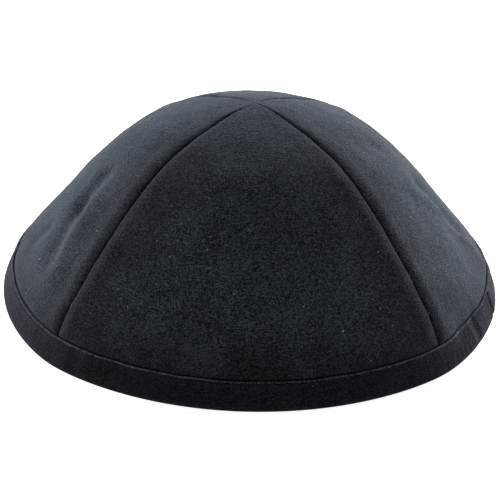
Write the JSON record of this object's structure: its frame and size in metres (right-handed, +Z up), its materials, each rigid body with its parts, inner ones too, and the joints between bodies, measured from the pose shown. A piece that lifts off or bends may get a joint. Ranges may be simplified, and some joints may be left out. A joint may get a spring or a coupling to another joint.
{
  "type": "kippah skullcap",
  "caption": "Shallow domed skullcap of black suede, sewn from triangular gore panels that meet at the crown, with a folded band round the rim.",
  "frame": {"origin": "centre of the rim, on the plane that the rim rests on", "axes": "+Z up through the crown where the panels meet, -Y towards the front panel, +X towards the right-hand panel as the front panel is looked at"},
  "size_m": [0.1651, 0.1652, 0.062],
  "materials": {
    "panel_suede": "matt napped suede, black with a cool grey bloom",
    "band_suede": "matt napped suede, black with a violet cast"
  },
  "bodies": {
    "root": {"panel_front": "panel_suede", "panel_right": "panel_suede", "panel_back": "panel_suede", "panel_left": "panel_suede", "rim_band": "band_suede"}
  },
  "joints": []
}
